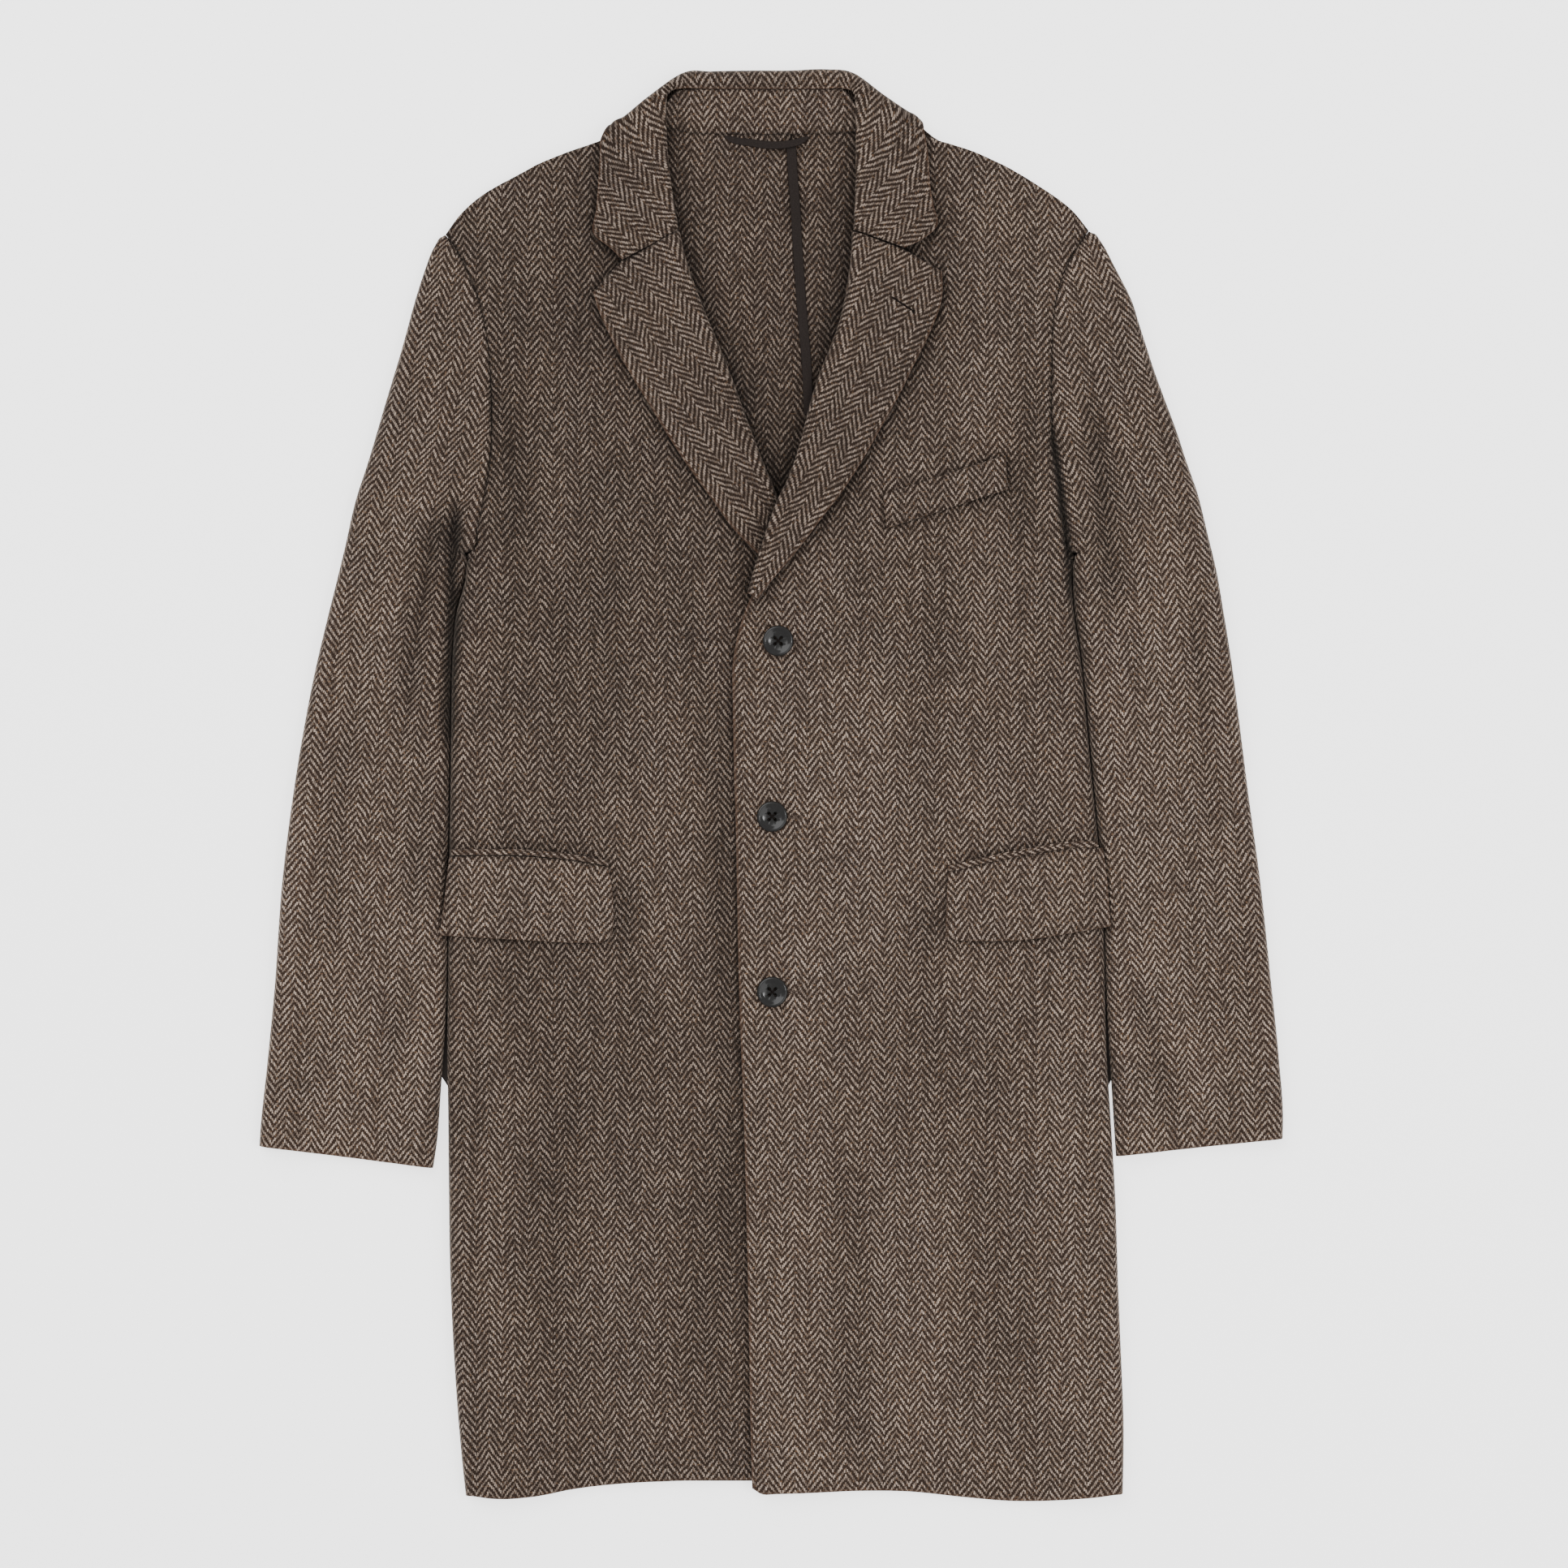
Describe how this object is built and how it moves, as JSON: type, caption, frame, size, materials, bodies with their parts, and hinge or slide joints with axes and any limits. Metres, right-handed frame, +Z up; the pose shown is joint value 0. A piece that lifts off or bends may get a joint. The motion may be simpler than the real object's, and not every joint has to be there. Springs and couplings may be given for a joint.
{
  "type": "wool overcoat",
  "caption": "Long single-breasted wool overcoat in dark brown herringbone, buttoned and laid flat on its back, with notched lapels, flap pockets and a chest welt pocket.",
  "frame": {"origin": "middle of the coat's footprint, on the flat surface that it lies on", "axes": "+Z up out of the front of the coat, +Y from the hem toward the collar, +X toward the wearer's left sleeve"},
  "size_m": [0.7244, 1.0124, 0.0202],
  "materials": {
    "wool": "matt brushed wool herringbone, dark brown ground with light beige grey flecks",
    "tape": "dark brown woven binding tape",
    "button": "dark grey black polished four-hole button with a raised rim"
  },
  "bodies": {
    "root": {"back_right": "wool", "back_left": "wool", "collar_stand": "wool", "seam_binding": "tape", "hanger_loop": "tape", "front_right": "wool", "lapel_right": "wool", "front_left": "wool", "lapel_left": "wool", "top_sleeve_right": "wool", "top_sleeve_left": "wool", "under_sleeve_right": "wool", "under_sleeve_left": "wool", "collar_fall": "wool", "jet_right": "wool", "jet_left": "wool", "flap_right": "wool", "flap_left": "wool", "chest_welt": "wool", "button_1": "button", "button_2": "button", "button_3": "button"}
  },
  "joints": []
}
